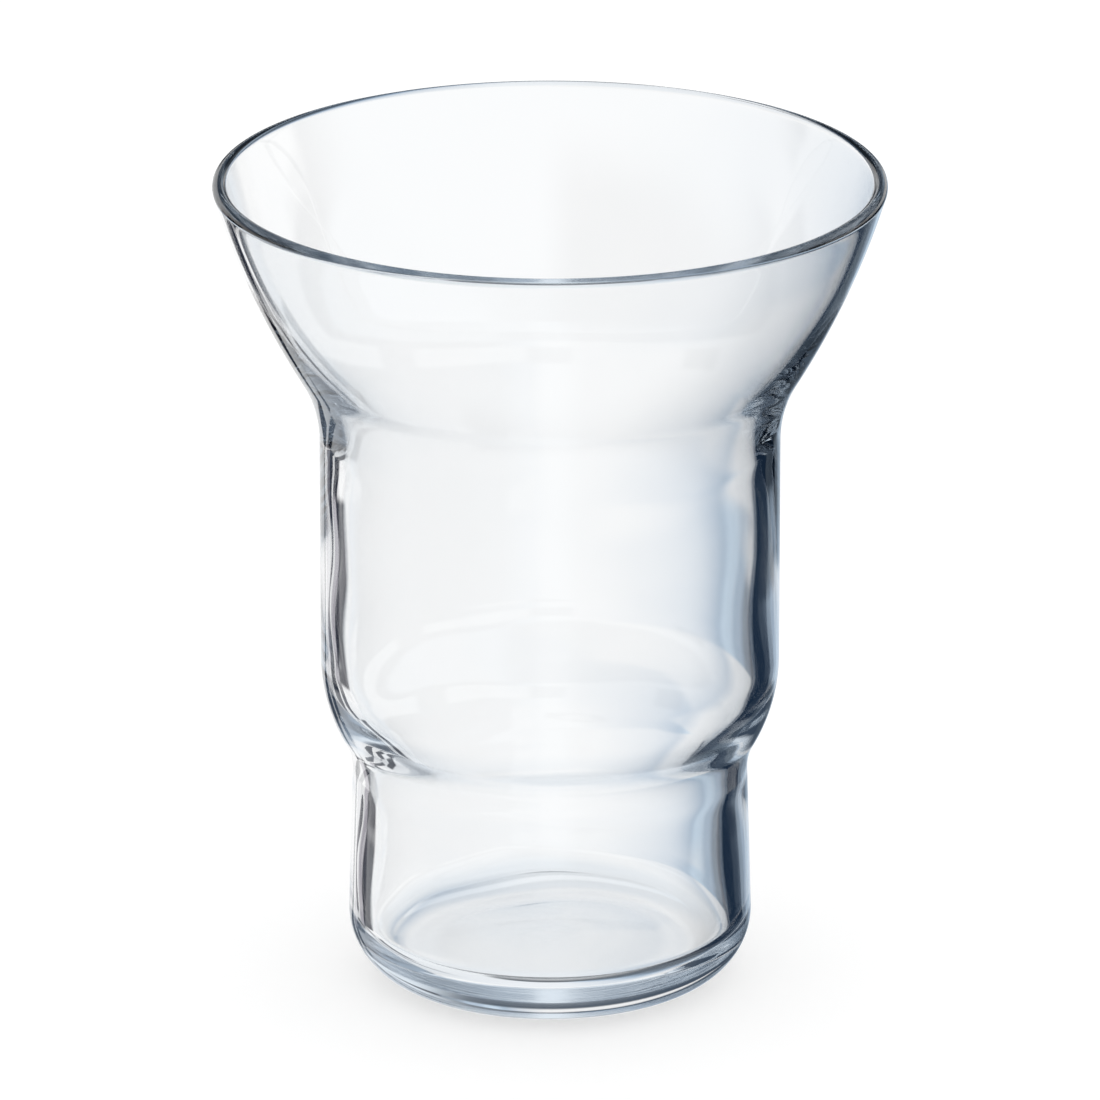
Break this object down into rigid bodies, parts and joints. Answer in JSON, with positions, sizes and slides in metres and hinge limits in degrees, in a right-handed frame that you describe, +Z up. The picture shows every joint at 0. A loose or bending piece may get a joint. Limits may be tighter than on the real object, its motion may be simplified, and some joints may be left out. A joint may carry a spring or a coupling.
{
  "type": "highball glass",
  "caption": "Clear drinking glass with a flared mouth, straight barrel, stepped-in foot and thick rounded base, for long cold drinks.",
  "frame": {"origin": "middle of the standing ring, on the plane of the table", "axes": "+Z up along the axis of the glass, from the base to the mouth; X and Y are free because the glass is round"},
  "size_m": [0.0976, 0.0976, 0.122],
  "materials": {
    "clear_glass": "clear fire-polished soda-lime glass, smooth and glossy, with a slightly wavy inside"
  },
  "bodies": {
    "root": {"glass_body": "clear_glass"}
  },
  "joints": []
}
